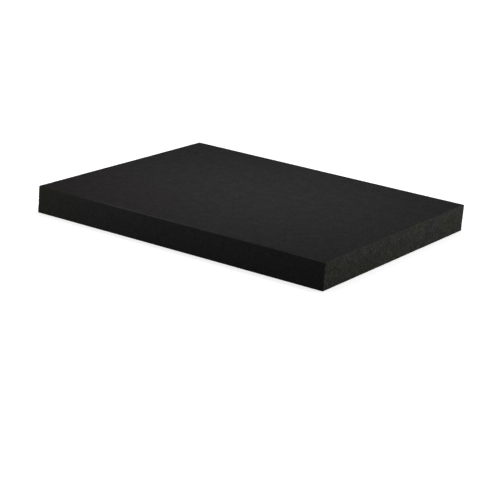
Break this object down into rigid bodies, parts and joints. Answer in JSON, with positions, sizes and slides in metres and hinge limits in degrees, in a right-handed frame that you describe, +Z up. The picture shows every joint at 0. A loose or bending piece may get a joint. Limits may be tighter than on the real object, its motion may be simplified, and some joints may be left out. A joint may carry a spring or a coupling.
{
  "type": "packing foam sheet",
  "caption": "Flat rectangular sheet of fine-celled black foam with square-cut sides and soft edges, for lining and padding a box, case or drawer.",
  "frame": {"origin": "middle of the face that the sheet lies on", "axes": "+X along the long side, +Y along the short side, +Z up through the thickness"},
  "size_m": [0.3, 0.25, 0.025],
  "materials": {
    "foam": "matt black closed-cell foam, finely speckled with cut cells"
  },
  "bodies": {
    "root": {"foam_sheet": "foam"}
  },
  "joints": []
}
